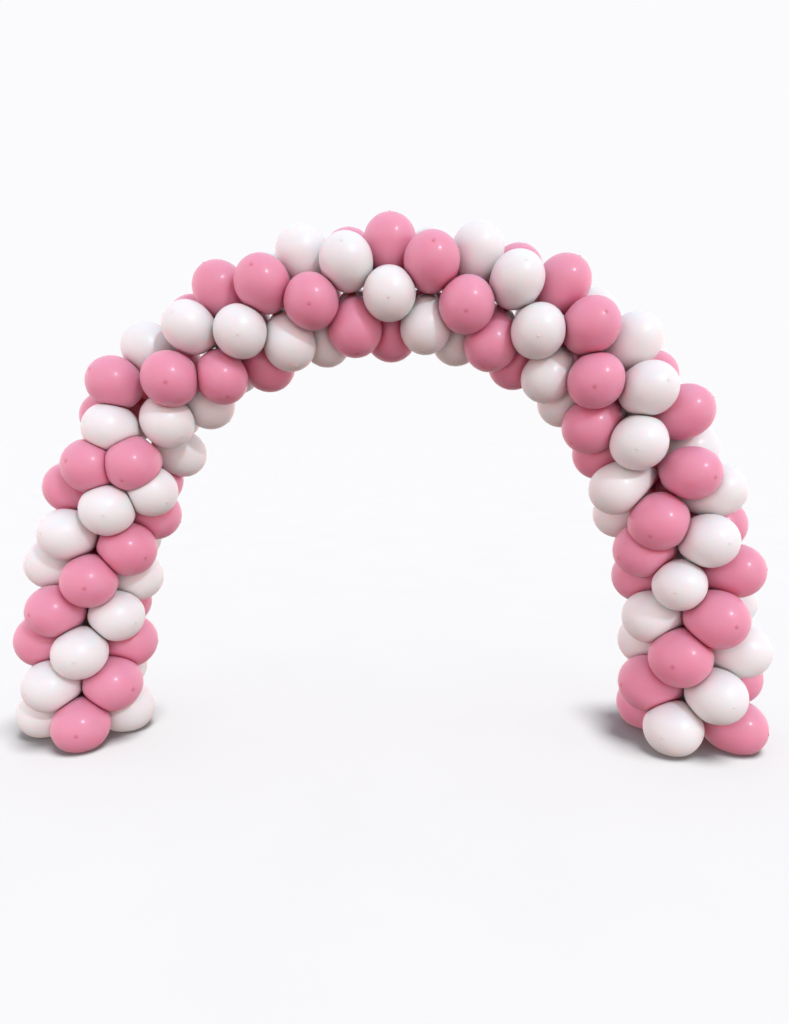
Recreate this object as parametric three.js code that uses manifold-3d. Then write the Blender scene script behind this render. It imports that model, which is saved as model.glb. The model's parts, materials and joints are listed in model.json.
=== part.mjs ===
// A free-standing balloon garland: an arch of pink and white latex balloons.
//
// The garland is a row of clusters. A cluster is four balloons knotted together at their
// necks, a pink pair crossed by a white pair. Each cluster sits in the hollows of the one
// before, an eighth of a turn further round, so the two colours climb as spiral bands.
//
// Millimetres. +Z is up, the front faces -Y, +X is the right-hand leg. The origin is on
// the floor, under the middle of the arch.

import * as THREE from 'three';
import { mergeVertices } from 'three/addons/utils/BufferGeometryUtils.js';
import Module from 'manifold-3d';

const wasm = await Module();
wasm.setup();

// One balloon: a 12 inch latex balloon, blown up to 11 inches or a little less
const balloonWidth = 280;
const colourSize = { pink: 0.99, white: 0.95 };
const knotToMiddle = 223;
const loosening = 0.065;       // knots are this much tighter at the left foot, looser at the right
const growth = 0.02;           // and the balloons this much smaller and larger
const topShrink = 0.04;        // the balloons of the top are blown up this much less
const footSwell = 0.04;        // and those of the feet, which carry the rest, this much more
const neckRadius = 7;
const neckShift = 22;          // the two crossing necks pass side by side in the knot
const shoulderFull = 2.6;      // how long the pear shape stays wide on its way to the neck
const flankHollow = 2.2;       // how hollow its flank then becomes
const widthAcross = 1.02;      // a balloon is a little wider across the garland
const widthAlong = 0.98;       // than along it, where its neighbours press on it
const sizeSpread = 0.025;
const angleSpread = THREE.MathUtils.degToRad(2.5);

// The arch
const clusterCount = 33;
const archHalfWidth = 1590;    // from the middle out to the knots of each foot
const archRise = 2170;         // from the lowest knots up to the highest
const shoulderPower = 2.25;    // 2 would be an ellipse, more is squarer
const topLean = 45;            // the top leans this far to the right
const lowestKnotHeight = 115;
const footClusters = 3;        // the clusters at each foot that are one solid per colour
const archSteps = 4000;        // how finely the arch is walked along to space the knots
const slopeSteps = 10;         // and how many of those steps each way give its slope

// The twist, as angles round the garland: 0 is the front, 90 the inside of the arch
const eighthTurn = Math.PI / 4;
const firstTurn = THREE.MathUtils.degToRad(15);
const lateTwist = THREE.MathUtils.degToRad(23);
const changeCluster = 10;      // here both pinks face out, and the bands swap places

// Round that change the garland is knocked out of line: [inward, along] per cluster
const outOfLine = { 8: [10, -30], 9: [35, -10], 10: [-75, -40], 11: [-40, -35] };

// Balloons that hang out of place: turned and tilted in degrees, on a longer or shorter neck,
// or blown up more or less than their neighbours
const handTied = {
  '9 pink 0': { tilt: -30 },
  '9 pink 1': { turn: 60, tilt: -5, stretch: 1.3 },
  '9 white 0': { turn: 35 },
  '9 white 1': { turn: 35, tilt: -5 },
  '10 pink 0': { turn: -15, stretch: 0.88 },
  '10 pink 1': { turn: -20, tilt: -25 },
  '11 white 0': { turn: -10, stretch: 0.85 },
  '12 pink 1': { turn: -7, tilt: -10, swell: 0.94 },
  '12 white 0': { swell: 0.95 },
  '22 white 0': { swell: 0.95 },
  '26 pink 1': { tilt: 15, swell: 0.93 },
  '26 white 1': { stretch: 1.2 },
  '27 pink 1': { turn: 10, tilt: 10 },
  '27 white 1': { stretch: 1.15 },
  '29 white 0': { swell: 0.92 },
  '30 pink 0': { swell: 1.05 },
  '33 pink 1': { swell: 0.92 },
};

// The facets
const sides = 8;
const crownRings = [42, 82];   // rings of corners on the round side, in degrees from the crown
const flankRings = [0.24, 0.7];  // and on the neck side, as parts of the way to the knot
const facetGrowth = 1.06;      // corners stand outside the round balloon, flats inside it
const contactGap = 0.3;
const pressReach = 1.2;        // balloons closer than this many widths are kept apart
const fusedOverlap = 0.8;

const pinkLatex = new THREE.MeshStandardMaterial({ color: 0xdb9bb3, roughness: 0.3, metalness: 0 });
const whiteLatex = new THREE.MeshStandardMaterial({ color: 0xe6e1df, roughness: 0.35, metalness: 0 });
const materials = { pink: pinkLatex, white: whiteLatex };

const bodyRadius = balloonWidth / 2;
const front = new THREE.Vector3(0, -1, 0);
const tiny = 0.001;

// A small repeatable unevenness from -1 to 1, different for each cluster and balloon. Any
// large irregular factors do: the part of a steep wave after the point looks like chance.
const waveTurns = { cluster: 12.9898, place: 78.233, kind: 37.719 };
const waveHeight = 43758.5453;

function unevenness(cluster, place, kind) {
  const turn = cluster * waveTurns.cluster + place * waveTurns.place + kind * waveTurns.kind;
  const wave = Math.sin(turn) * waveHeight;
  return 2 * (wave - Math.floor(wave)) - 1;
}

// The arch's centreline, a superellipse from the left foot over to the right foot
function pointOnArch(angle) {
  const across = Math.abs(Math.cos(angle)) ** (2 / shoulderPower) * Math.sign(Math.cos(angle));
  const up = Math.abs(Math.sin(angle)) ** (2 / shoulderPower);
  return new THREE.Vector3(topLean * up - archHalfWidth * across, 0, lowestKnotHeight + archRise * up);
}

// The knots lie at equal steps along the centreline, each with the way the line runs there
function layOutKnots() {
  const points = [pointOnArch(0)];
  const lengths = [0];
  for (let i = 1; i <= archSteps; i += 1) {
    points.push(pointOnArch((Math.PI * i) / archSteps));
    lengths.push(lengths[i - 1] + points[i].distanceTo(points[i - 1]));
  }
  const pitch = lengths[archSteps] / (clusterCount - 1);
  const knots = [];
  for (let i = 0; i <= archSteps; i += 1) {
    if (lengths[i] >= pitch * knots.length - tiny) {
      const before = points[Math.max(i - slopeSteps, 0)];
      const after = points[Math.min(i + slopeSteps, archSteps)];
      const along = after.clone().sub(before).normalize();
      const inward = new THREE.Vector3(along.z, 0, -along.x);
      const [sideways, lengthways] = outOfLine[knots.length + 1] ?? [0, 0];
      const point = points[i].clone().addScaledVector(inward, sideways);
      knots.push({ point: point.addScaledVector(along, lengthways), along, inward });
    }
  }
  return knots;
}

// The angles of a cluster's pairs, before the garland's slow extra twist is added
function pairAngles(cluster) {
  if (cluster === changeCluster) {
    return { pink: [-eighthTurn, -3 * eighthTurn], white: [eighthTurn, 3 * eighthTurn] };
  }
  const swap = cluster > changeCluster ? Math.PI / 2 : 0;
  const turn = (cluster - 1) * eighthTurn + swap;
  return { pink: [turn, turn + Math.PI], white: [turn + Math.PI / 2, turn + 1.5 * Math.PI] };
}

const inLeftFoot = (cluster) => cluster <= footClusters;
const inRightFoot = (cluster) => cluster > clusterCount - footClusters;

function nodeName(colour, cluster) {
  if (inLeftFoot(cluster)) return `foot_left_${colour}`;
  if (inRightFoot(cluster)) return `foot_right_${colour}`;
  return `${colour}_pair_${String(cluster).padStart(2, '0')}`;
}

function makeBalloon(knot, cluster, colour, which, baseAngle) {
  const byHand = handTied[`${cluster} ${colour} ${which}`] ?? {};
  const { turn = 0, tilt = 0, stretch = 1, swell = 1 } = byHand;
  const place = (colour === 'pink' ? 0 : 2) + which;
  const progress = (cluster - 1) / (clusterCount - 1);
  const wobble = angleSpread * unevenness(cluster, place, 1) + THREE.MathUtils.degToRad(turn);
  const angle = baseAngle + firstTurn + lateTwist * progress ** 3 + wobble;
  const outward = front.clone().multiplyScalar(Math.cos(angle));
  outward.addScaledVector(knot.inward, Math.sin(angle));
  outward.addScaledVector(knot.along, Math.tan(THREE.MathUtils.degToRad(tilt))).normalize();
  const evenness = 1 + sizeSpread * unevenness(cluster, place, 2) + growth * (2 * progress - 1);
  const atFoot = inLeftFoot(cluster) || inRightFoot(cluster) ? footSwell : 0;
  const blownUp = 1 + atFoot - topShrink * Math.sin(Math.PI * progress);
  const size = evenness * blownUp * colourSize[colour] * swell;
  const reach = knotToMiddle * (1 + loosening * (2 * progress - 1)) * stretch;
  const middle = knot.point.clone().addScaledVector(outward, reach);
  return { outward, size, reach, middle, node: nodeName(colour, cluster) };
}

function makePairs(knots) {
  const pairs = [];
  knots.forEach((knot, index) => {
    const cluster = index + 1;
    const angles = pairAngles(cluster);
    for (const colour of ['pink', 'white']) {
      const balloons = angles[colour].map((angle, which) => (
        makeBalloon(knot, cluster, colour, which, angle)
      ));
      const bent = cluster === changeCluster;
      pairs.push({ colour, knot, balloons, bent, node: balloons[0].node });
    }
  });
  return pairs;
}

// The flat places where a balloon meets the floor and the balloons that press on it
function findContacts(balloon, everyBalloon) {
  const contacts = [{ towards: new THREE.Vector3(0, 0, -1), reach: balloon.middle.z }];
  for (const other of everyBalloon) {
    const distance = balloon.middle.distanceTo(other.middle);
    if (other !== balloon && distance < balloonWidth * pressReach) {
      const towards = other.middle.clone().sub(balloon.middle).divideScalar(distance);
      const share = balloon.size / (balloon.size + other.size);
      const margin = other.node === balloon.node ? fusedOverlap : -contactGap;
      contacts.push({ towards, reach: distance * share + margin / 2 });
    }
  }
  return contacts;
}

// Draws a corner in towards the balloon's middle until it is behind every flat place
function pressIn(point, balloon) {
  const arm = point.clone().sub(balloon.middle);
  let scale = 1;
  for (const contact of balloon.contacts) {
    const reach = arm.dot(contact.towards);
    if (reach > contact.reach) scale = Math.min(scale, contact.reach / reach);
  }
  return balloon.middle.clone().addScaledVector(arm, scale);
}

// Half of a pair's outline, from the crown of the balloon to just short of the knot
function balloonProfile() {
  const crown = knotToMiddle + bodyRadius;
  const profile = [new THREE.Vector2(0, crown)];
  for (const degrees of crownRings) {
    const angle = THREE.MathUtils.degToRad(degrees);
    const width = bodyRadius * Math.sin(angle) * facetGrowth;
    profile.push(new THREE.Vector2(width, knotToMiddle + bodyRadius * Math.cos(angle)));
  }
  for (const part of flankRings) {
    const fullness = (1 - part ** shoulderFull) ** flankHollow;
    const width = neckRadius + (bodyRadius - neckRadius) * fullness;
    profile.push(new THREE.Vector2(width * facetGrowth, knotToMiddle * (1 - part)));
  }
  return profile;
}

// A pair is turned as one straight spindle, then each half is laid along its own balloon
function turnSpindle() {
  const half = balloonProfile();
  const mirrored = half.map((point) => new THREE.Vector2(point.x, -point.y));
  const outline = [...mirrored, new THREE.Vector2(neckRadius, 0), ...half.reverse()];
  const spindle = new THREE.LatheGeometry(outline, sides, Math.PI / sides);
  spindle.deleteAttribute('normal');
  spindle.deleteAttribute('uv');
  return mergeVertices(spindle, tiny);
}

// Pinching a lathe shut at a crown leaves triangles of no area, which are dropped
function dropEmptyTriangles(geometry) {
  const index = geometry.index.array;
  const kept = [];
  for (let i = 0; i < index.length; i += 3) {
    const [a, b, c] = [index[i], index[i + 1], index[i + 2]];
    if (a !== b && b !== c && c !== a) kept.push(a, b, c);
  }
  geometry.setIndex(kept);
  return geometry;
}

// The neck side is stretched to the balloon's own length, and the round side only to its size
function stretchToReach(distance, balloon) {
  const neckSide = Math.min(distance, knotToMiddle) * (balloon.reach / knotToMiddle);
  return neckSide + Math.max(distance - knotToMiddle, 0) * balloon.size;
}

function shapePair(pair, spindle) {
  const geometry = spindle.clone();
  const [first, second] = pair.balloons;
  const across = second.outward.clone().sub(first.outward).normalize();
  const side = pair.colour === 'pink' ? -neckShift : neckShift;
  const straightShift = pair.knot.along.clone().multiplyScalar(side);
  const bentShift = first.outward.clone().add(second.outward).setLength(neckShift);
  const shift = pair.bent ? bentShift : straightShift;
  const corners = geometry.attributes.position;
  for (let i = 0; i < corners.count; i += 1) {
    const along = corners.getY(i);
    const atKnot = Math.abs(along) < tiny;
    const balloon = along < 0 ? first : second;
    const travel = balloon.outward.clone().multiplyScalar(Math.sign(along));
    if (atKnot) travel.copy(across);
    const ringX = pair.knot.along.clone().projectOnPlane(travel).normalize();
    const ringZ = travel.clone().cross(ringX);
    const size = atKnot ? 1 : balloon.size;
    const distance = stretchToReach(Math.abs(along), balloon);
    const point = pair.knot.point.clone().addScaledVector(travel, Math.sign(along) * distance);
    point.addScaledVector(ringX, corners.getX(i) * size * widthAlong);
    point.addScaledVector(ringZ, -corners.getZ(i) * size * widthAcross);
    const settled = atKnot ? point.add(shift) : pressIn(point, balloon);
    corners.setXYZ(i, settled.x, settled.y, settled.z);
  }
  return geometry;
}

function toSolid(geometry) {
  const vertProperties = new Float32Array(geometry.attributes.position.array);
  const triVerts = new Uint32Array(geometry.index.array);
  return new wasm.Manifold(new wasm.Mesh({ numProp: 3, vertProperties, triVerts }));
}

function toGeometry(solid) {
  const { vertProperties, triVerts } = solid.getMesh();
  const geometry = new THREE.BufferGeometry();
  geometry.setAttribute('position', new THREE.BufferAttribute(vertProperties, 3));
  geometry.setIndex(new THREE.BufferAttribute(triVerts, 1));
  return geometry;
}

function joinShapes(shapes) {
  if (shapes.length === 1) return shapes[0];
  const solids = shapes.map(toSolid);
  return toGeometry(solids.reduce((whole, solid) => whole.add(solid)));
}

function buildGarland() {
  const knots = layOutKnots();
  const pairs = makePairs(knots);
  const everyBalloon = pairs.flatMap((pair) => pair.balloons);
  for (const balloon of everyBalloon) balloon.contacts = findContacts(balloon, everyBalloon);

  const spindle = dropEmptyTriangles(turnSpindle());
  const shapesOf = new Map();
  for (const pair of pairs) {
    const shapes = shapesOf.get(pair.node) ?? { colour: pair.colour, list: [] };
    shapes.list.push(shapePair(pair, spindle));
    shapesOf.set(pair.node, shapes);
  }

  const garland = new THREE.Group();
  for (const [name, shapes] of shapesOf) {
    const mesh = new THREE.Mesh(joinShapes(shapes.list), materials[shapes.colour]);
    mesh.name = name;
    garland.add(mesh);
  }

  // The twist makes the outline a little lopsided, so the whole is centred over the origin
  const middle = new THREE.Box3().setFromObject(garland, true).getCenter(new THREE.Vector3());
  garland.position.set(-middle.x, -middle.y, 0);
  return garland;
}

const group = buildGarland();

export default group;
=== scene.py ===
# %% [markdown]
# # A balloon garland, dressed
#
# The object is a free-standing arch of pink and white latex balloons. Its size and its
# structure come from a imported CAD frame, where every pair of balloons is a plain faceted
# solid. This lesson swaps each solid for a smooth pair of balloons that press on each
# other, gives them a latex that is thick at the neck and thin on the round side, and
# lights the arch from the upper right, in a pale room.
#
# We load the frame first, and later line the dressed arch up with the boxes of its solids.
# The dressed arch may not outgrow it.

# %% Load the frame
import json
import math

import bpy
import numpy as np
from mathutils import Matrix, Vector

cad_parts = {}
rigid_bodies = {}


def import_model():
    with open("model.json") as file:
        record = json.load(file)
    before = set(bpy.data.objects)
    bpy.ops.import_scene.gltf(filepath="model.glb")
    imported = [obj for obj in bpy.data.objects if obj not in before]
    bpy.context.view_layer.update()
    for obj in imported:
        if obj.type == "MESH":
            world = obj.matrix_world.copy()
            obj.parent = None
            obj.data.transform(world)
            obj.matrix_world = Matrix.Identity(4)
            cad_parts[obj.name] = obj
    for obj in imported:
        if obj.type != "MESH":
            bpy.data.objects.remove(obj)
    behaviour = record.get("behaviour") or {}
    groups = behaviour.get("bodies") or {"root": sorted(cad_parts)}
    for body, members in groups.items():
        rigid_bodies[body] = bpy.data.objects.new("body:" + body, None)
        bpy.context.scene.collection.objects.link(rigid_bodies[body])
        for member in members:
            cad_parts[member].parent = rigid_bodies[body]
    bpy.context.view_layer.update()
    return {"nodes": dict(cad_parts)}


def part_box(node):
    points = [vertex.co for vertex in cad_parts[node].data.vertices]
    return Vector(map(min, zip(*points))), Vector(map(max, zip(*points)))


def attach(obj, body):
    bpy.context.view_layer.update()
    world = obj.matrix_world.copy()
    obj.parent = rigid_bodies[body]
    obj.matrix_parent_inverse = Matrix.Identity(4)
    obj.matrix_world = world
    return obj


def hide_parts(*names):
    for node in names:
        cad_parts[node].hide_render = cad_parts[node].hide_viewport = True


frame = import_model()
print("frame:", len(frame["nodes"]), "solids")

# %% [markdown]
# ## Driving dimensions
#
# A garland maker works from few numbers: the balloon, how far the knots sit from the
# round bodies, how many clusters of four there are, and the line that they follow. The
# solids were made from these same values, here in metres, so the smooth balloons land
# where the solids are. Only the neck differs: it is slimmer here, and its flank fuller.
# Nothing is traced, and one changed value moves the whole arch.

# %% Driving dimensions
BALLOON_WIDTH = 0.280
BODY_RADIUS = BALLOON_WIDTH / 2
KNOT_TO_MIDDLE = 0.223
NECK_RADIUS = 0.006         # a millimetre slimmer than on the solids
NECK_SHIFT = 0.022          # the crossing necks of a cluster lie side by side
COLOUR_SIZE = {"pink": 0.99, "white": 0.95}
LOOSENING = 0.065           # knots are tighter at the left foot and looser at the right
GROWTH = 0.02
TOP_SHRINK = 0.04           # the balloons of the top are blown up this much less
FOOT_SWELL = 0.04           # and those of the feet, which carry the rest, this much more
SHOULDER_FULL = 2.6         # the pear shape: how long it stays wide, then how hollow it gets
FLANK_HOLLOW = 1.55         # the solids are hollower, so that their flat facets clear the knots
WIDTH_ACROSS = 1.02
WIDTH_ALONG = 0.98
SIZE_SPREAD = 0.025
ANGLE_SPREAD = math.radians(2.5)

CLUSTERS = 33
HALF_WIDTH = 1.590
RISE = 2.170
SHOULDER_POWER = 2.25
TOP_LEAN = 0.045
LOWEST_KNOT = 0.115
FOOT_CLUSTERS = 3

EIGHTH_TURN = math.pi / 4
FIRST_TURN = math.radians(15)
LATE_TWIST = math.radians(23)
CHANGE_CLUSTER = 10         # both pinks face out here, and the colour bands swap places
OUT_OF_LINE = {8: (0.010, -0.030), 9: (0.035, -0.010), 10: (-0.075, -0.040), 11: (-0.040, -0.035)}
HAND_TIED = {               # turn and tilt in degrees, neck length and size as factors
    (9, "pink", 0): {"tilt": -30},
    (9, "pink", 1): {"turn": 60, "tilt": -5, "stretch": 1.3},
    (9, "white", 0): {"turn": 35},
    (9, "white", 1): {"turn": 35, "tilt": -5},
    (10, "pink", 0): {"turn": -15, "stretch": 0.88},
    (10, "pink", 1): {"turn": -20, "tilt": -25},
    (11, "white", 0): {"turn": -10, "stretch": 0.85},
    (12, "pink", 1): {"turn": -7, "tilt": -10, "swell": 0.94},
    (12, "white", 0): {"swell": 0.95},
    (22, "white", 0): {"swell": 0.95},
    (26, "pink", 1): {"tilt": 15, "swell": 0.93},
    (26, "white", 1): {"stretch": 1.2},
    (27, "pink", 1): {"turn": 10, "tilt": 10},
    (27, "white", 1): {"stretch": 1.15},
    (29, "white", 0): {"swell": 0.92},
    (30, "pink", 0): {"swell": 1.05},
    (33, "pink", 1): {"swell": 0.92},
}

FRONT = np.array([0.0, -1.0, 0.0])
print("balloon", BALLOON_WIDTH, "m wide,", CLUSTERS, "clusters,", CLUSTERS * 4, "balloons")

# %% [markdown]
# ## The line of knots
#
# The arch is a superellipse, which has straighter legs and squarer shoulders than an
# ellipse. Its knots are tied at equal steps along it. We could solve the arc length with
# an integral, but walking along a fine polyline is easier to read and exact enough.

# %% Lay out the knots
ARCH_STEPS = 4000           # how finely the arch is walked along to space the knots
SLOPE_STEPS = 10            # and how many of those steps each way give its slope
LENGTH_SLACK = 1e-6         # the last knot still counts as reached with this much to go


def point_on_arch(angle):
    across = abs(math.cos(angle)) ** (2 / SHOULDER_POWER) * math.copysign(1, math.cos(angle))
    up = abs(math.sin(angle)) ** (2 / SHOULDER_POWER)
    return np.array([TOP_LEAN * up - HALF_WIDTH * across, 0.0, LOWEST_KNOT + RISE * up])


def lay_out_knots():
    """Each knot's place, the way along the garland there, and the way into the archway."""
    points = np.array([point_on_arch(math.pi * i / ARCH_STEPS) for i in range(ARCH_STEPS + 1)])
    lengths = np.concatenate([[0.0], np.cumsum(np.linalg.norm(np.diff(points, axis=0), axis=1))])
    pitch = lengths[-1] / (CLUSTERS - 1)
    knots = []
    for number in range(1, CLUSTERS + 1):
        i = int(np.searchsorted(lengths, pitch * (number - 1) - LENGTH_SLACK))
        along = points[min(i + SLOPE_STEPS, ARCH_STEPS)] - points[max(i - SLOPE_STEPS, 0)]
        along /= np.linalg.norm(along)
        inward = np.array([along[2], 0.0, -along[0]])
        sideways, lengthways = OUT_OF_LINE.get(number, (0.0, 0.0))
        knots.append((points[i] + inward * sideways + along * lengthways, along, inward))
    return knots, pitch


knots, pitch = lay_out_knots()
print("knots every", round(pitch * 1000), "mm, highest at", round(max(k[0][2] for k in knots), 3), "m")

# %% [markdown]
# ## The balloons of each cluster
#
# A cluster is a pink pair crossed by a white pair. Each cluster sits in the hollows of the
# last, an eighth of a turn further on, so equal colours climb as spirals. Real garlands
# are tied by hand: the sizes and angles wander a little, and one cluster on the left leg
# was put in wrongly. A steep sine gives the same small unevenness each run: the part of
# its value after the point looks like chance.

# %% Place the balloons
CLUSTER_TURN, PLACE_TURN, KIND_TURN = 12.9898, 78.233, 37.719
WAVE_HEIGHT = 43758.5453
OF_ANGLE, OF_SIZE, OF_TINT = 1, 2, 3


def unevenness(cluster, place, kind):
    turn = cluster * CLUSTER_TURN + place * PLACE_TURN + kind * KIND_TURN
    wave = math.sin(turn) * WAVE_HEIGHT
    return 2 * (wave - math.floor(wave)) - 1


def pair_angles(cluster):
    if cluster == CHANGE_CLUSTER:
        return {"pink": (-EIGHTH_TURN, -3 * EIGHTH_TURN), "white": (EIGHTH_TURN, 3 * EIGHTH_TURN)}
    turn = (cluster - 1) * EIGHTH_TURN + (math.pi / 2 if cluster > CHANGE_CLUSTER else 0)
    return {"pink": (turn, turn + math.pi), "white": (turn + math.pi / 2, turn + 1.5 * math.pi)}


def in_left_foot(cluster):
    return cluster <= FOOT_CLUSTERS


def in_right_foot(cluster):
    return cluster > CLUSTERS - FOOT_CLUSTERS


def node_name(colour, cluster):
    if in_left_foot(cluster):
        return f"foot_left_{colour}"
    if in_right_foot(cluster):
        return f"foot_right_{colour}"
    return f"{colour}_pair_{cluster:02d}"


def place_balloon(knot, cluster, colour, which, base_angle):
    point, along, inward = knot
    place = which if colour == "pink" else which + 2
    progress = (cluster - 1) / (CLUSTERS - 1)
    slow_twist = FIRST_TURN + LATE_TWIST * progress**3
    by_hand = HAND_TIED.get((cluster, colour, which), {})
    angle = base_angle + slow_twist + ANGLE_SPREAD * unevenness(cluster, place, OF_ANGLE)
    angle += math.radians(by_hand.get("turn", 0))
    outward = FRONT * math.cos(angle) + inward * math.sin(angle)
    outward = outward + along * math.tan(math.radians(by_hand.get("tilt", 0)))
    outward = outward / np.linalg.norm(outward)
    chance = SIZE_SPREAD * unevenness(cluster, place, OF_SIZE)
    evenness = 1 + chance + GROWTH * (2 * progress - 1)
    at_foot = FOOT_SWELL if in_left_foot(cluster) or in_right_foot(cluster) else 0
    blown_up = 1 + at_foot - TOP_SHRINK * math.sin(math.pi * progress)
    size = evenness * blown_up * COLOUR_SIZE[colour] * by_hand.get("swell", 1)
    reach = KNOT_TO_MIDDLE * (1 + LOOSENING * (2 * progress - 1)) * by_hand.get("stretch", 1)
    tint = 0.5 + 0.5 * unevenness(cluster, place, OF_TINT)
    return {
        "outward": outward, "size": size, "reach": reach, "tint": tint,
        "knot": point, "along": along, "middle": point + outward * reach,
    }


pairs = []
for number, knot in enumerate(knots, start=1):
    for colour, angles in pair_angles(number).items():
        balloons = [place_balloon(knot, number, colour, i, a) for i, a in enumerate(angles)]
        bend = balloons[0]["outward"] + balloons[1]["outward"]
        side = knot[1] * (-NECK_SHIFT if colour == "pink" else NECK_SHIFT)
        is_bent = number == CHANGE_CLUSTER
        shift = bend / np.linalg.norm(bend) * NECK_SHIFT if is_bent else side
        pairs.append({
            "name": f"{colour}_balloons_{number:02d}", "colour": colour, "cluster": number,
            "node": node_name(colour, number), "balloons": balloons, "shift": shift,
        })
everything = [balloon for pair in pairs for balloon in pair["balloons"]]
print(len(pairs), "pairs,", len(everything), "balloons")

# %% [markdown]
# ## Where balloons press on each other
#
# A balloon in a tight cluster isn't round: its skin lies flat wherever a neighbour pushes
# back, and the flat of one lies on the flat of the other. Two equal soft balls meet on the
# plane halfway between them, so we list, for each balloon, those planes and the floor.
# That is far quicker than a cloth simulation, and it gives the same soft facets.

# %% Find the contact planes
PRESS_REACH = 1.2           # balloons closer than this many widths press on each other
SKIN_GAP = 0.0006
SAME_PLACE = 0.001          # nearer than this, it is the balloon itself
DOWN = [0, 0, -1]


def contact_planes(balloon):
    middles = np.array([other["middle"] for other in everything])
    offsets = middles - balloon["middle"]
    distances = np.linalg.norm(offsets, axis=1)
    reached = (distances < BALLOON_WIDTH * PRESS_REACH) & (distances > SAME_PLACE)
    near = np.flatnonzero(reached)
    normals = [offsets[i] / distances[i] for i in near]
    shares = [balloon["size"] / (balloon["size"] + everything[i]["size"]) for i in near]
    reaches = [distances[i] * share - SKIN_GAP / 2 for i, share in zip(near, shares)]
    return np.array([*normals, DOWN]), np.array([*reaches, balloon["middle"][2]])


for balloon in everything:
    balloon["planes"] = contact_planes(balloon)
touching = sum(len(b["planes"][1]) - 1 for b in everything) / len(everything)
print("neighbours per balloon:", round(touching, 1))

# %% [markdown]
# ## One balloon's skin
#
# A blown-up balloon is a ball with a pear-shaped flank that runs down to the neck, and a
# small nub at the crown where the mould dripped. We draw it as rings from crown to knot.
# Each ring is drawn in towards the contact planes with a soft minimum, which rounds the
# rim of every flat, as stretched latex does. Near the neck the skin gathers in pleats.

# %% Shape a balloon
SEGMENTS = 52
SOFTNESS = 26               # a higher power makes the rim of each flat sharper
NUB_HEIGHT = 0.0035
NUB_RADIUS = 0.0045
NUB_RINGS = (0.0016, 0.0032, 0.0048, 0.0068, 0.0095)
FIRST_ROUND_RING = 7.5      # degrees from the crown, where the even rings begin
ROUND_RINGS = 15
FLANK_RINGS = 20
RING_CROWDING = 0.92        # below 1, the rings lie closer together near the knot
PLEATS = 11
PLEAT_DEPTH = 0.16
PLEAT_LENGTH = 0.034
NECK_SETTLES = 0.085        # this far from the knot, a neck is back on its balloon's axis
GATHER_LENGTH = 0.055       # how far up from the knot the latex stays thick; the colour drawn from it is partly painted shade
CREASE_SHADE_FADE = 0.010           # how far off a flat the painted crease shade fades
LEAST_ROOM = 0.004
LEAST_LEAN = 1e-4           # a spoke that hardly leans towards a plane never reaches it


def ring_profile():
    """For each ring: distance from the knot and radius, crown first, on a balloon of size 1."""
    rows = []
    for radius in NUB_RINGS:
        angle = math.asin(radius / BODY_RADIUS)
        rows.append((KNOT_TO_MIDDLE + BODY_RADIUS * math.cos(angle), radius))
    for degrees in np.linspace(FIRST_ROUND_RING, 90, ROUND_RINGS):
        angle = math.radians(degrees)
        rows.append((KNOT_TO_MIDDLE + BODY_RADIUS * math.cos(angle), BODY_RADIUS * math.sin(angle)))
    for part in np.linspace(0, 1, FLANK_RINGS + 1)[1:] ** RING_CROWDING:
        fullness = (1 - part**SHOULDER_FULL) ** FLANK_HOLLOW
        radius = NECK_RADIUS + (BODY_RADIUS - NECK_RADIUS) * fullness
        rows.append((KNOT_TO_MIDDLE * (1 - part), radius))
    return rows


PROFILE = ring_profile()


def soft_minimum(radius, reaches):
    """A length just under the smallest of them all, that changes smoothly from one to the next."""
    total = 1 + np.sum((radius[None, :] / reaches) ** SOFTNESS, axis=0)
    return radius * total ** (-1 / SOFTNESS)


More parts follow.
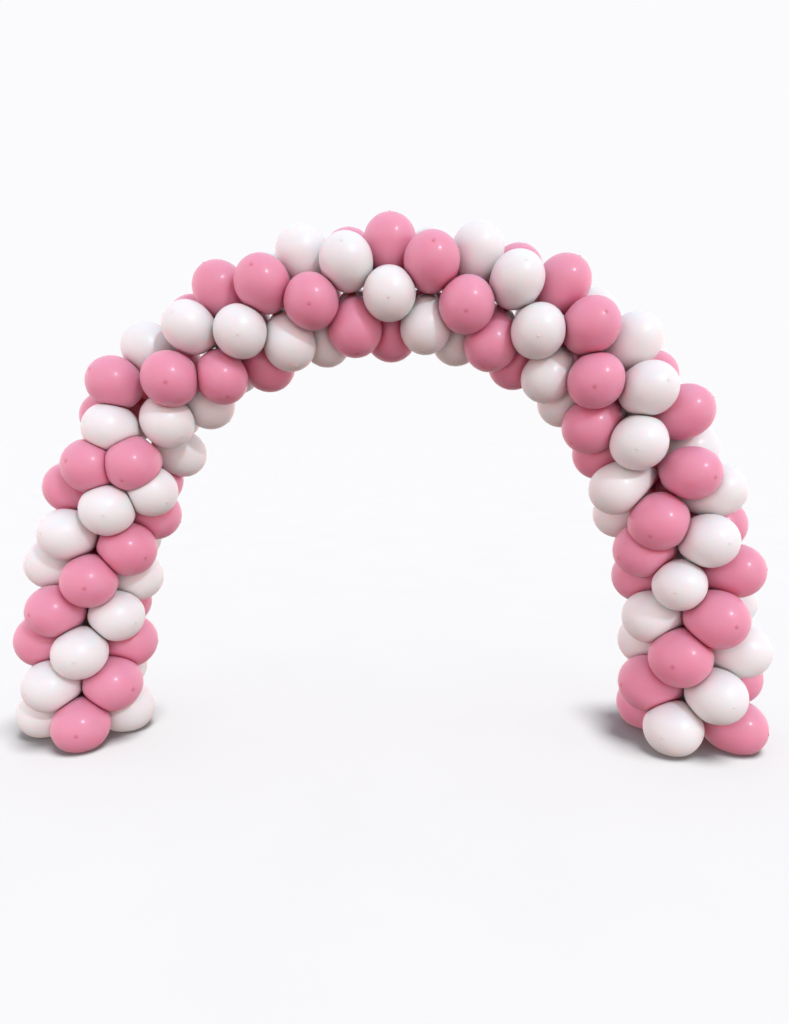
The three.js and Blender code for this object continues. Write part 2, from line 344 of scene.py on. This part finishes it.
def balloon_skin(balloon, shift):
    """Corners, quads and the skin's attributes for one closed balloon."""
    size, reach, outward = balloon["size"], balloon["reach"], balloon["outward"]
    first = balloon["along"] - outward * balloon["along"].dot(outward)
    first /= np.linalg.norm(first)
    second = np.cross(outward, first)
    turns = np.arange(SEGMENTS) * (2 * math.pi / SEGMENTS)
    spokes = np.outer(np.cos(turns), first) * WIDTH_ALONG
    spokes += np.outer(np.sin(turns), second) * WIDTH_ACROSS
    widths = np.linalg.norm(spokes, axis=1)
    spokes /= widths[:, None]
    normals, plane_reaches = balloon["planes"]
    leaning = np.maximum(normals @ spokes.T, LEAST_LEAN)
    corners, knot_nearness, tip, painted_crease_shade = [], [], [], []
    for distance, radius in PROFILE:
        near_knot = min(distance, KNOT_TO_MIDDLE) * reach / KNOT_TO_MIDDLE
        stretched = near_knot + max(distance - KNOT_TO_MIDDLE, 0) * size
        ease = max(0.0, 1 - stretched / NECK_SETTLES)
        axis_point = balloon["knot"] + outward * stretched + shift * ease * ease * (3 - 2 * ease)
        pleat = 1 + PLEAT_DEPTH * math.exp(-stretched / PLEAT_LENGTH) * np.cos(PLEATS * turns)
        free = radius * size * widths * pleat
        room = plane_reaches - normals @ (axis_point - balloon["middle"])
        reaches = np.maximum(room, LEAST_ROOM)[:, None] / leaning
        held = soft_minimum(free, reaches)
        on_round_side = distance > KNOT_TO_MIDDLE
        nub = NUB_HEIGHT * math.exp(-((radius / NUB_RADIUS) ** 2)) if on_round_side else 0
        corners.append(axis_point + outward * nub + spokes * held[:, None])
        # nearness to the knot: the thicker latex of the neck, and painted shade deep in the cluster,
        # are drawn from it
        knot_nearness.append(np.full(SEGMENTS, math.exp(-stretched / GATHER_LENGTH)))
        tip.append(np.full(SEGMENTS, radius if on_round_side else BODY_RADIUS))
        # painted shade: near 1 where the skin lies on a flat between balloons, fading off its rim, to
        # darken the creases
        painted_crease_shade.append(np.exp(-np.maximum(np.min(reaches, axis=0) - held, 0) / CREASE_SHADE_FADE))
    crown_point = balloon["knot"] + outward * (reach + BODY_RADIUS * size + NUB_HEIGHT)
    knot_point = balloon["knot"] + shift
    points = np.concatenate([crown_point[None], *corners, knot_point[None]])
    marks = {
        "knot_nearness": np.concatenate([[0.0], *knot_nearness, [1.0]]),
        "tip": np.concatenate([[0.0], *tip, [BODY_RADIUS]]),
        "painted_crease_shade": np.concatenate([[0.0], *painted_crease_shade, [0.0]]),
        "tint": np.full(len(points), balloon["tint"]),
    }
    return points, skin_faces(len(PROFILE)), marks


def skin_faces(rings):
    """Faces of a closed skin of rings between two end points, all facing out."""
    faces = []
    last = 1 + rings * SEGMENTS
    for i in range(SEGMENTS):
        after = (i + 1) % SEGMENTS
        faces.append((0, 1 + i, 1 + after))
        for ring in range(rings - 1):
            row, next_row = 1 + ring * SEGMENTS, 1 + (ring + 1) * SEGMENTS
            faces.append((row + i, next_row + i, next_row + after, row + after))
        row = 1 + (rings - 1) * SEGMENTS
        faces.append((row + i, last, row + after))
    return faces


print("one skin:", len(PROFILE), "rings of", SEGMENTS)

# %% [markdown]
# ## The knot of a pair
#
# Two balloons of one colour are tied neck to neck, which makers call a duplet. The knot is
# a short overhand wrap of gathered latex with two rolled mouths sticking out of it. A
# closed tube along a trefoil curve reads as the wrap, and a small trumpet with a fat lip
# reads as a mouth. They are deep in the cluster, and show only through its gaps.

# %% Shape a knot
WRAP_RADIUS = 0.010
WRAP_THICKNESS = 0.0042
WRAP_FLATNESS = 0.55        # how far the trefoil's crossings pass above and below each other
WRAP_STEPS = 48
WRAP_SIDES = 8
MOUTH_LENGTH = 0.017
MOUTH_LEAN = 0.6            # how far a mouth leans along its pair, rather than out sideways
MOUTH_SIDES = 10
MOUTH_STATIONS = np.array([0.2, 0.45, 0.7, 0.88, 0.95, 1.0, 0.97])
MOUTH_RADII = np.array([0.0035, 0.0032, 0.0042, 0.0056, 0.0072, 0.0066, 0.0052])
LIP_STEP = 0.0002           # the lip's end cap lies this far beyond its widest ring
SIDE_GUIDE = np.array([0.31, 0.17, 0.93])  # any direction that no tube here runs along


def tube_mesh(path, radius, sides, closed):
    """A tube with the same number of sides all along a path of points."""
    path = np.array(path)
    radii = np.broadcast_to(radius, len(path))
    ahead = np.roll(path, -1, axis=0) - np.roll(path, 1, axis=0)
    if not closed:
        ahead[0], ahead[-1] = path[1] - path[0], path[-1] - path[-2]
    points, faces = [], []
    for centre, way, width in zip(path, ahead, radii):
        side = np.cross(way, SIDE_GUIDE)
        side /= np.linalg.norm(side)
        other = np.cross(way / np.linalg.norm(way), side)
        for j in range(sides):
            turn = 2 * math.pi * j / sides
            points.append(centre + width * (side * math.cos(turn) + other * math.sin(turn)))
    rows = len(path)
    for i in range(rows if closed else rows - 1):
        for j in range(sides):
            k, below = (j + 1) % sides, (i + 1) % rows
            faces.append((i * sides + j, i * sides + k, below * sides + k, below * sides + j))
    if not closed:
        faces.append(tuple(reversed(range(sides))))
        faces.append(tuple((rows - 1) * sides + j for j in range(sides)))
    return np.array(points), faces


def knot_meshes(pair):
    """The wrap and the two mouths, round the pair's own knot point."""
    first, second = pair["balloons"]
    centre = first["knot"] + pair["shift"]
    across = second["outward"] - first["outward"]
    across /= np.linalg.norm(across)
    sideways = np.cross(across, first["along"])
    sideways /= np.linalg.norm(sideways)
    upward = np.cross(sideways, across)
    basis = np.array([upward, sideways, across])
    turns = np.linspace(0, 2 * math.pi, WRAP_STEPS, endpoint=False)
    wrap = np.stack([
        (np.sin(turns) + 2 * np.sin(2 * turns)) / 3,
        (np.cos(turns) - 2 * np.cos(2 * turns)) / 3,
        -np.sin(3 * turns) * WRAP_FLATNESS,
    ], axis=1) * WRAP_RADIUS
    parts = [tube_mesh(centre + wrap @ basis, WRAP_THICKNESS, WRAP_SIDES, closed=True)]
    for sign in (-1, 1):
        way = sideways * sign + across * MOUTH_LEAN * sign
        way /= np.linalg.norm(way)
        path = centre + np.outer(MOUTH_STATIONS * MOUTH_LENGTH, way)
        path[-1] = path[-2] + way * LIP_STEP
        parts.append(tube_mesh(path, MOUTH_RADII, MOUTH_SIDES, closed=False))
    return parts


print("knot wrap", round(2000 * WRAP_RADIUS), "mm across")

# %% [markdown]
# ## Line up with the frame
#
# The frame's origin is under the middle of the arch's box, and the twist makes that box
# slightly lopsided. So we don't guess the offset: we compare the box of every pair that is
# its own solid with the middle of the same pair as worked out here, and average the gap.

# %% Find the offset to the frame


def middle_of_pair(pair):
    first, second = pair["balloons"]
    return (first["middle"] + second["middle"]) / 2


gaps = []
for pair in pairs:
    if pair["node"].startswith("foot") or pair["cluster"] == CHANGE_CLUSTER:
        continue
    low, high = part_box(pair["node"])
    gaps.append(((np.array(low) + np.array(high)) / 2 - middle_of_pair(pair))[:2])
offset = np.array([*np.mean(gaps, axis=0), 0.0])
print("offset to the frame:", offset.round(4), "spread", np.std(gaps, axis=0).round(4))

# %% [markdown]
# ## Shader maths as plain expressions
#
# A material with many nodes is hard to read as links, so one small class wraps a socket
# and lets us write `1 - mask` or `noise * 0.3`. Numbers go through Math nodes. Colours
# can't, because a Math node would turn them grey, so they go through one mixing helper.

# %% A small language for shaders


class Signal:
    """A value that changes over a surface, read from one node socket."""

    def __init__(self, bench, socket):
        self.bench = bench
        self.socket = socket

    def math(self, operation, first, second):
        return self.bench.add("ShaderNodeMath", {"operation": operation}, {0: first, 1: second})

    def __add__(self, other):
        return self.math("ADD", self, other)

    def __radd__(self, other):
        return self.math("ADD", other, self)

    def __sub__(self, other):
        return self.math("SUBTRACT", self, other)

    def __rsub__(self, other):
        return self.math("SUBTRACT", other, self)

    def __mul__(self, other):
        return self.math("MULTIPLY", self, other)

    def __rmul__(self, other):
        return self.math("MULTIPLY", other, self)


class Bench:
    """One material's node tree, with a single method that adds any node."""

    def __init__(self, name):
        self.material = bpy.data.materials.new(name)
        self.material.use_nodes = True
        self.tree = self.material.node_tree
        self.shader = self.tree.nodes["Principled BSDF"]

    def add(self, kind, settings=None, inputs=None, output=0):
        node = self.tree.nodes.new(kind)
        for key, value in (settings or {}).items():
            setattr(node, key, value)
        for key, value in (inputs or {}).items():
            self.plug(node.inputs[key], value)
        return Signal(self, node.outputs[output])

    def plug(self, socket, value):
        if isinstance(value, Signal):
            self.tree.links.new(value.socket, socket)
        else:
            socket.default_value = value

    def finish(self, varying, constant):
        for key, value in {**varying, **constant}.items():
            self.plug(self.shader.inputs[key], value)
        return self.material

    def between(self, low, high, amount):
        """A colour from low to high, as amount goes from 0 to 1."""
        settings = {"data_type": "RGBA", "clamp_factor": True}
        return self.add("ShaderNodeMix", settings, {0: amount, 6: low, 7: high}, output=2)

    def mark(self, name):
        """A number that the mesh holds at each of its corners."""
        return self.add("ShaderNodeAttribute", {"attribute_name": name}, output="Fac")

    def noise(self, scale, detail=2.0, roughness=0.5):
        place = self.add("ShaderNodeTexCoord", output="Object")
        sockets = {"Vector": place, "Scale": scale, "Detail": detail, "Roughness": roughness}
        return self.add("ShaderNodeTexNoise", {}, sockets)

    def ramp(self, amount, low, high):
        """0 below low, 1 above high, smooth between."""
        settings = {"interpolation_type": "SMOOTHSTEP"}
        return self.add("ShaderNodeMapRange", settings, {"Value": amount, 1: low, 2: high})


def linear(red, green, blue):
    """A colour given as 0 to 255, as the light that a shader works with."""
    def channel(value):
        value /= 255
        return value / 12.92 if value <= 0.04045 else ((value + 0.055) / 1.055) ** 2.4
    return (channel(red), channel(green), channel(blue), 1.0)


print("shader helpers ready")

# %% [markdown]
# ## Latex
#
# Balloon latex carries its colour through the whole skin, so a thick place is deeper and
# a stretched place paler: the neck and the small spot at the crown are the deepest. The
# skin lets some light through, red furthest of all, which scattering under the surface
# stands for, and it is glossy with a faint bloom of powder. The pink takes a small sharp
# glint, the white is a shade more satin. The deep colour is also painted shade: it spreads
# from the knot far up the flank, deep in the cluster, and lies on the flats where balloons
# press on each other. Nearness to the knot, the flats and the crown are read from the
# mesh's marks, and the unevenness comes from noise.

# %% Make the latex
# The deep colour is thick latex, and also painted shade in the creases and far up the flank from the
# knot.
LATEX = {
    "pink": {
        "body": linear(215, 137, 160), "pale": linear(219, 148, 172),
        "thick_and_shaded": linear(208, 70, 88), "spot": linear(186, 80, 102), "spot_amount": 0.6,
        "rough": 0.38, "coat": 0.32, "coat_rough": 0.19, "glow": (0.5, 0.012, 0.015),
    },
    "white": {
        "body": linear(224, 222, 221), "pale": linear(229, 227, 226),
        "thick_and_shaded": linear(216, 205, 196), "spot": linear(205, 193, 186), "spot_amount": 0.22,
        "rough": 0.42, "coat": 0.45, "coat_rough": 0.27, "glow": (0.08, 0.015, 0.012),
    },
}


CLOUD_SCALE = 7.0           # noise scales: broad clouds, shallow dimples and powder
DIMPLE_SCALE = 38.0
POWDER_SCALE = 260.0
CREASE_SHADE_SHARE = 0.35        # how much of the deep colour a flat takes, as painted crease shade
THICK_AND_SHADED_FROM, THICK_AND_SHADED_FULL = 0.02, 0.75
SPOT_FROM, SPOT_TO = 0.002, 0.020
RELIEF_HEIGHT = 0.002
RELIEF_STRENGTH = 0.05


def make_latex(colour):
    look = LATEX[colour]
    bench = Bench(f"{colour}_latex")
    clouds = bench.noise(CLOUD_SCALE, detail=3.0)
    fine = bench.noise(POWDER_SCALE, detail=2.0)
    thinness = bench.mark("tint") * 0.6 + clouds * 0.5 - 0.05
    skin = bench.between(look["body"], look["pale"], thinness)
    # painted shade: the flats where balloons press on each other take part of the deep colour, as a
    # crease the light hardly reaches
    skin = bench.between(skin, look["thick_and_shaded"], bench.mark("painted_crease_shade") * CREASE_SHADE_SHARE)
    # thick latex near the knot, with painted shade: the deep colour reaches from the knot far up the
    # flank, deep in the cluster
    thick_neck_and_shade = bench.ramp(bench.mark("knot_nearness"), THICK_AND_SHADED_FROM, THICK_AND_SHADED_FULL)
    skin = bench.between(skin, look["thick_and_shaded"], thick_neck_and_shade)
    spot = 1 - bench.ramp(bench.mark("tip") + fine * 0.004, SPOT_FROM, SPOT_TO)
    skin = bench.between(skin, look["spot"], spot * look["spot_amount"])
    bloom = bench.ramp(fine, 0.45, 0.8)
    roughness = look["rough"] + bloom * 0.08 + clouds * 0.08 + bench.mark("knot_nearness") * 0.1
    dimples = bench.noise(DIMPLE_SCALE, detail=1.0) + fine * 0.12
    heights = {"Strength": RELIEF_STRENGTH, "Distance": RELIEF_HEIGHT, "Height": dimples}
    relief = bench.add("ShaderNodeBump", {}, heights)
    constant = {
        "Subsurface Weight": 0.9, "Subsurface Radius": look["glow"], "Subsurface Scale": 0.12,
        "Coat Weight": look["coat"], "Coat Roughness": look["coat_rough"], "IOR": 1.45,
    }
    return bench.finish({"Base Color": skin, "Roughness": roughness, "Normal": relief}, constant)


latex = {colour: make_latex(colour) for colour in LATEX}
print("materials:", [m.name for m in latex.values()])

# %% [markdown]
# ## Dress every pair
#
# Each pair becomes one object: two skins and their knot, as the maker ties them before
# stacking. It rides on the arch's only body and stands for its solid. At the feet three
# pairs stand for one solid, because there the solids of one colour were fused.

# %% Build the pairs


def build_pair(pair):
    points, faces, start = [], [], 0
    marks = {"knot_nearness": [], "tip": [], "painted_crease_shade": [], "tint": []}
    for balloon in pair["balloons"]:
        skin, skin_quads, skin_marks = balloon_skin(balloon, pair["shift"])
        points.append(skin)
        faces += [tuple(start + corner for corner in face) for face in skin_quads]
        start += len(skin)
        for key, values in skin_marks.items():
            marks[key].append(values)
    for part, part_faces in knot_meshes(pair):
        points.append(part)
        faces += [tuple(start + corner for corner in face) for face in part_faces]
        start += len(part)
        knot_marks = {"knot_nearness": 1.0, "tip": BODY_RADIUS, "painted_crease_shade": 0.0, "tint": 0.5}
        for key, value in knot_marks.items():
            marks[key].append(np.full(len(part), value))
    mesh = bpy.data.meshes.new(pair["name"])
    mesh.from_pydata((np.concatenate(points) + offset).tolist(), [], faces)
    for key, values in marks.items():
        layer = mesh.attributes.new(key, "FLOAT", "POINT")
        layer.data.foreach_set("value", np.concatenate(values).astype(np.float32))
    mesh.shade_smooth()
    mesh.materials.append(latex[pair["colour"]])
    piece = bpy.data.objects.new(pair["name"], mesh)
    bpy.context.scene.collection.objects.link(piece)
    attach(piece, "root")
    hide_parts(pair["node"])
    return len(mesh.polygons)


faces_made = sum(build_pair(pair) for pair in pairs)
print(len(pairs), "pieces,", faces_made, "faces")

# %% [markdown]
# ## Floor and light
#
# The light of the photograph comes from the upper right, in front, with a strong fill that
# turns warm and dim towards the ground. A sun lamp with a narrow disc gives the crisp
# shadows that the balloons throw on each other and the small glint on each. The floor has
# a lamp of its own from overhead, so that it stays pale and even and darkens only round
# the feet. The room behind is as pale as the floor, so that the horizon hardly shows.

# %% Make the floor and the lights
KEY_DIRECTION = Vector((0.48, -0.66, 0.58))
KEY_STRENGTH = 1.1
KEY_WIDTH = math.radians(1.5)
KEY_COLOUR = (0.70, 0.93, 1.0)
OVERHEAD_DIRECTION = Vector((0.22, -0.25, 1.0))
OVERHEAD_STRENGTH = 7.0
OVERHEAD_WIDTH = math.radians(28)
SHADOW_CLUSTERS = 3         # how many clusters of each leg the overhead lamp throws a shadow of
SKY = (0.70, 0.74, 0.82)
HAZE = (1.28, 1.04, 1.04)
GROUND = (0.13, 0.09, 0.075)
GROUND_UP_TO, HAZE_AT, SKY_FROM = 0.1, 0.5, 0.85   # from straight down, 0, to straight up, 1
FILL_STRENGTH = 1.3
BACKDROP = (0.965, 0.965, 0.98)
FLOOR_HALF = 80.0
PAPER, PALER_PAPER = linear(149, 149, 149), linear(152, 152, 152)
LAMP_DISTANCE = 6.0         # where a lamp stands changes nothing, only its direction counts


def make_floor():
    bench = Bench("pale_paper")
    tone = bench.between(PAPER, PALER_PAPER, bench.noise(1.3, detail=3.0))
    material = bench.finish({"Base Color": tone}, {"Roughness": 0.9, "Specular IOR Level": 0.0})
    half = FLOOR_HALF
    corners = [(-half, -half, 0), (half, -half, 0), (half, half, 0), (-half, half, 0)]
    mesh = bpy.data.meshes.new("floor")
    mesh.from_pydata(corners, [], [(0, 1, 2, 3)])
    mesh.materials.append(material)
    floor = bpy.data.objects.new("floor", mesh)
    bpy.context.scene.collection.objects.link(floor)
    floor.visible_diffuse = False
    floor.visible_glossy = False
    return floor


def make_sun(name, direction, strength, width, colour):
    lamp = bpy.data.lights.new(name, "SUN")
    lamp.energy = strength
    lamp.angle = width
    lamp.color = colour
    holder = bpy.data.objects.new(name, lamp)
    holder.rotation_mode = "QUATERNION"
    holder.rotation_quaternion = direction.to_track_quat("Z", "Y")
    holder.location = direction * LAMP_DISTANCE
    bpy.context.scene.collection.objects.link(holder)
    return holder


def gather_objects(name, members):
    group = bpy.data.collections.new(name)
    for member in members:
        group.objects.link(member)
    return group


def aim_lamps(key, overhead, floor):
    """The key leaves out the floor. The overhead lamp lights the floor alone, past the feet."""
    unlit = gather_objects("not_lit_by_key", [floor])
    key.light_linking.receiver_collection = unlit
    unlit.collection_objects[0].light_linking.link_state = "EXCLUDE"
    overhead.light_linking.receiver_collection = gather_objects("lit_by_overhead", [floor])
    above_feet = range(SHADOW_CLUSTERS + 1, CLUSTERS - SHADOW_CLUSTERS + 1)
    feet = [pair for pair in pairs if pair["cluster"] not in above_feet]
    blockers = [bpy.data.objects[pair["name"]] for pair in feet]
    overhead.light_linking.blocker_collection = gather_objects("shadow_of_the_feet", blockers)


def make_world():
    """Light that changes from sky to ground, behind a plain backdrop."""
    world = bpy.data.worlds.new("pale_room")
    world.use_nodes = True
    tree = world.node_tree
    place = tree.nodes.new("ShaderNodeTexCoord")
    split = tree.nodes.new("ShaderNodeSeparateXYZ")
    height = tree.nodes.new("ShaderNodeMapRange")
    height.inputs["From Min"].default_value = -1.0
    ramp = tree.nodes.new("ShaderNodeValToRGB")
    ramp.color_ramp.elements[0].color = (*GROUND, 1.0)
    ramp.color_ramp.elements[0].position = GROUND_UP_TO
    ramp.color_ramp.elements[1].color = (*SKY, 1.0)
    ramp.color_ramp.elements[1].position = SKY_FROM
    ramp.color_ramp.elements.new(HAZE_AT).color = (*HAZE, 1.0)
    lighting = tree.nodes["Background"]
    lighting.inputs["Strength"].default_value = FILL_STRENGTH
    backdrop = tree.nodes.new("ShaderNodeBackground")
    backdrop.inputs["Color"].default_value = (*BACKDROP, 1.0)
    seen = tree.nodes.new("ShaderNodeLightPath")
    choose = tree.nodes.new("ShaderNodeMixShader")
    tree.links.new(place.outputs["Generated"], split.inputs[0])
    tree.links.new(split.outputs["Z"], height.inputs["Value"])
    tree.links.new(height.outputs[0], ramp.inputs[0])
    tree.links.new(ramp.outputs[0], lighting.inputs["Color"])
    tree.links.new(seen.outputs["Is Camera Ray"], choose.inputs[0])
    tree.links.new(lighting.outputs[0], choose.inputs[1])
    tree.links.new(backdrop.outputs[0], choose.inputs[2])
    tree.links.new(choose.outputs[0], tree.nodes["World Output"].inputs["Surface"])
    bpy.context.scene.world = world


floor = make_floor()
key = make_sun("window_light", KEY_DIRECTION, KEY_STRENGTH, KEY_WIDTH, KEY_COLOUR)
overhead = make_sun("overhead_light", OVERHEAD_DIRECTION, OVERHEAD_STRENGTH, OVERHEAD_WIDTH, (1, 1, 1))
aim_lamps(key, overhead, floor)
make_world()
bpy.context.scene.view_settings.view_transform = "Standard"
print("key light", KEY_STRENGTH, "from", [round(v, 2) for v in KEY_DIRECTION])

# %% [markdown]
# ## Camera
#
# The photograph was taken at eye height, close to the arch and with a wide lens, so the
# feet are seen from above and the crown almost level. The lens is written as the focal
# length on a sensor 36 mm along its long side.

# %% Place the camera
CAMERA_PLACE = Vector((0.109, -3.562, 1.594))
CAMERA_AIM = Vector((0.027, 0.0, 1.179))
LENS_MM = 24.7
SENSOR_MM = 36.0

camera_data = bpy.data.cameras.new("camera")
camera_data.lens = LENS_MM
camera_data.sensor_width = SENSOR_MM
camera = bpy.data.objects.new("camera", camera_data)
camera.location = CAMERA_PLACE
camera.rotation_mode = "QUATERNION"
camera.rotation_quaternion = (CAMERA_AIM - CAMERA_PLACE).to_track_quat("-Z", "Y")
bpy.context.scene.collection.objects.link(camera)
bpy.context.scene.camera = camera
print("camera", round((CAMERA_AIM - CAMERA_PLACE).length, 2), "m from the arch")
